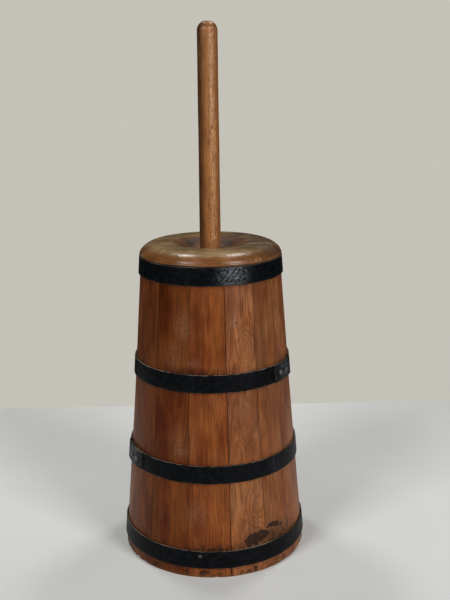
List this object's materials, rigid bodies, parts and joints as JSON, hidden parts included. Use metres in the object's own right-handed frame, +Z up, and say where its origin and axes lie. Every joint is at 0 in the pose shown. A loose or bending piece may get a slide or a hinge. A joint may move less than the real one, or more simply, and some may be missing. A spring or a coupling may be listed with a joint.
{
  "type": "butter churn",
  "caption": "Tall tapered wooden butter churn with riveted iron hoops, a turned lid with a dished top, and a dasher whose long round staff slides up and down through the lid.",
  "frame": {"origin": "centre of the tub's base, in the plane of the floor it stands on", "axes": "+Z is up along the axis of the tub and the staff; -Y is the front, where the visible seams, the nail of the bottom hoop and the laps of the two middle hoops at either side are seen; +X is to the right seen from the front"},
  "size_m": [0.2624, 0.2624, 0.731],
  "materials": {
    "stave_wood": "red-brown stained softwood with fine upright grain, rubbed and scuffed",
    "head_wood": "bare softwood darkened by use",
    "lid_wood": "turned wood, waxed, soft gloss",
    "staff_wood": "close-grained hardwood polished by hands",
    "foot_wood": "scrubbed hardwood, matt",
    "hoop_iron": "black paint on strap iron, satin, worn at the edges",
    "rivet_iron": "rubbed dark iron"
  },
  "bodies": {
    "tub": {"stave_1": "stave_wood", "stave_2": "stave_wood", "stave_3": "stave_wood", "stave_4": "stave_wood", "stave_5": "stave_wood", "stave_6": "stave_wood", "stave_7": "stave_wood", "stave_8": "stave_wood", "stave_9": "stave_wood", "stave_10": "stave_wood", "stave_11": "stave_wood", "stave_12": "stave_wood", "stave_13": "stave_wood", "stave_14": "stave_wood", "stave_15": "stave_wood", "head_middle": "head_wood", "head_left": "head_wood", "head_right": "head_wood", "head_dowels": "foot_wood", "hoop_bottom": "hoop_iron", "hoop_lower": "hoop_iron", "hoop_upper": "hoop_iron", "hoop_top": "hoop_iron", "rivets_bottom": "rivet_iron", "rivets_lower": "rivet_iron", "rivets_upper": "rivet_iron", "rivets_top": "rivet_iron", "hoop_nail": "rivet_iron"},
    "lid": {"lid": "lid_wood"},
    "dasher": {"staff": "staff_wood", "foot_bar_lower": "foot_wood", "foot_bar_upper": "foot_wood", "foot_wedge": "foot_wood"}
  },
  "joints": [
    {"name": "lid_lift", "type": "slide", "parent": "tub", "child": "lid", "axis": [0, 0, 1], "range_m": [0, 0.33]},
    {"name": "dasher_stroke", "type": "slide", "parent": "tub", "child": "dasher", "axis": [0, 0, 1], "range_m": [0, 0.35]}
  ]
}
